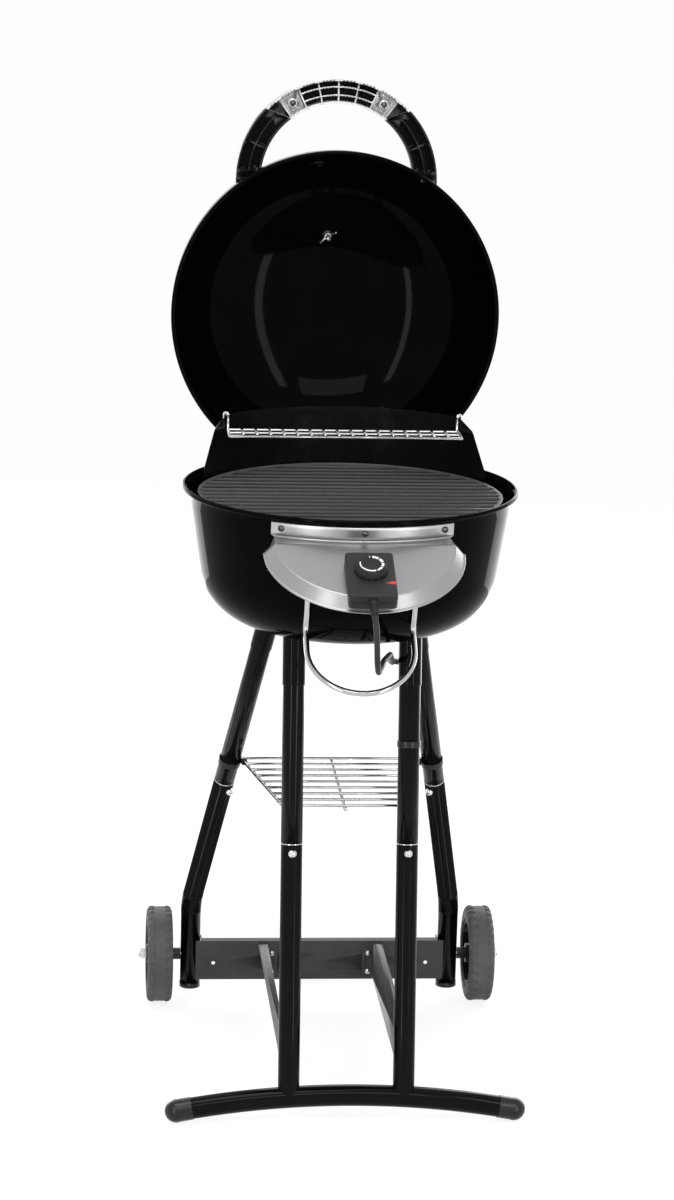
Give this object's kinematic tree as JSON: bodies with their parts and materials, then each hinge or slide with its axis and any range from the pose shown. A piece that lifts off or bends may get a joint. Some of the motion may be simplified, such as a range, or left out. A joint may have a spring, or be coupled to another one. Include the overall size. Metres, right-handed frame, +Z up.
{
  "type": "electric grill",
  "caption": "Free-standing electric kettle grill: round bowl with ribbed plate, hinged domed lid with handle and thermometer, dial controller, and a wheeled tubular stand with a wire shelf",
  "frame": {"origin": "on the floor under the middle of the whole object, front to back and side to side", "axes": "+X to the right as seen from the front, +Y to the back where the lid hinges and the wheels are, +Z up"},
  "size_m": [0.4918, 0.8327, 1.2483],
  "materials": {
    "bowl_enamel": "gloss heat-proof enamel",
    "lid_enamel": "gloss heat-proof enamel",
    "guard_steel": "black heat-proof paint",
    "chromed_wire": "bright chrome",
    "coated_aluminium": "dark non-stick coating",
    "bare_steel": "zinc plated",
    "element_sheath": "heat-darkened steel sheath",
    "aluminised_steel": "aluminised",
    "ceramic": "glazed ceramic, weighed as plastic",
    "screw_steel": "bright zinc",
    "controller_plastic": "fine-grained black",
    "dial_plastic": "black with white figures",
    "red_lens": "clear red",
    "soft_rubber": "soft black",
    "cord_rubber": "round black flex",
    "plug_rubber": "moulded black",
    "black_plastic": "black nylon",
    "silver_paint": "silver-grey paint",
    "silver_plastic": "silver paint",
    "dial_card": "white face with plain numbers",
    "red_paint": "red",
    "clear_glass": "clear",
    "leg_paint": "semi-gloss black",
    "wheel_rubber": "hard dark grey treaded tyre",
    "hub_plastic": "black, moulded"
  },
  "bodies": {
    "stand": {"bowl": "bowl_enamel", "wind_guard": "guard_steel", "warming_rack": "chromed_wire", "grill_plate": "coated_aluminium", "plate_brackets": "bare_steel", "element_bars": "bare_steel", "heating_element": "element_sheath", "reflector": "aluminised_steel", "terminal_block": "ceramic", "lead_cover": "aluminised_steel", "front_tray": "silver_paint", "tray_screws": "screw_steel", "controller_base": "controller_plastic", "controller_cover": "controller_plastic", "indicator_lens": "red_lens", "cord_gland": "soft_rubber", "power_cord": "cord_rubber", "cord_coil": "cord_rubber", "cord_tie": "soft_rubber", "cord_clip": "black_plastic", "mains_plug": "plug_rubber", "front_rail": "chromed_wire", "hinge_bracket": "guard_steel", "hinge_pin": "bare_steel", "bowl_screws": "screw_steel", "front_legs_upper": "leg_paint", "front_legs_lower": "leg_paint", "rear_legs_upper": "leg_paint", "rear_legs_lower": "leg_paint", "leg_sockets": "guard_steel", "stand_screws": "screw_steel", "shelf": "chromed_wire", "shelf_clips": "black_plastic", "rear_crossbar": "leg_paint", "braces": "leg_paint", "axle": "bare_steel", "axle_bushes": "black_plastic", "axle_nuts": "screw_steel", "front_foot": "leg_paint", "end_caps": "black_plastic"},
    "lid": {"lid_shell": "lid_enamel", "handle_grip": "silver_plastic", "handle_arm_left": "black_plastic", "handle_arm_right": "black_plastic", "lid_screws": "screw_steel", "thermometer_case": "bare_steel", "thermometer_dial": "dial_card", "thermometer_lens": "clear_glass", "thermometer_stem": "bare_steel", "wing_nut": "bare_steel", "hinge_leaf": "guard_steel"},
    "needle": {"thermometer_needle": "red_paint"},
    "dial": {"control_dial": "dial_plastic", "dial_shaft": "bare_steel"},
    "wheel_left": {"tyre_left": "wheel_rubber", "hub_left": "hub_plastic"},
    "wheel_right": {"tyre_right": "wheel_rubber", "hub_right": "hub_plastic"}
  },
  "joints": [
    {"name": "lid_hinge", "type": "hinge", "parent": "stand", "child": "lid", "pos_m": [0, 0.166, 0.725], "axis": [1, 0, 0], "range_deg": [0, 91.7]},
    {"name": "needle_turn", "type": "hinge", "parent": "lid", "child": "needle", "pos_m": [0, 0.38299, 1.0287], "axis": [0, 0.9865, 0.1635], "range_deg": [-240, 0]},
    {"name": "dial_turn", "type": "hinge", "parent": "stand", "child": "dial", "pos_m": [0, -0.33118, 0.71609], "axis": [0, -0.4067, 0.9135], "range_deg": [0, 280]},
    {"name": "wheel_left_spin", "type": "hinge", "parent": "stand", "child": "wheel_left", "pos_m": [-0.2183, 0.214, 0.065], "axis": [1, 0, 0], "continuous": true},
    {"name": "wheel_right_spin", "type": "hinge", "parent": "stand", "child": "wheel_right", "pos_m": [0.2183, 0.214, 0.065], "axis": [1, 0, 0], "continuous": true}
  ]
}
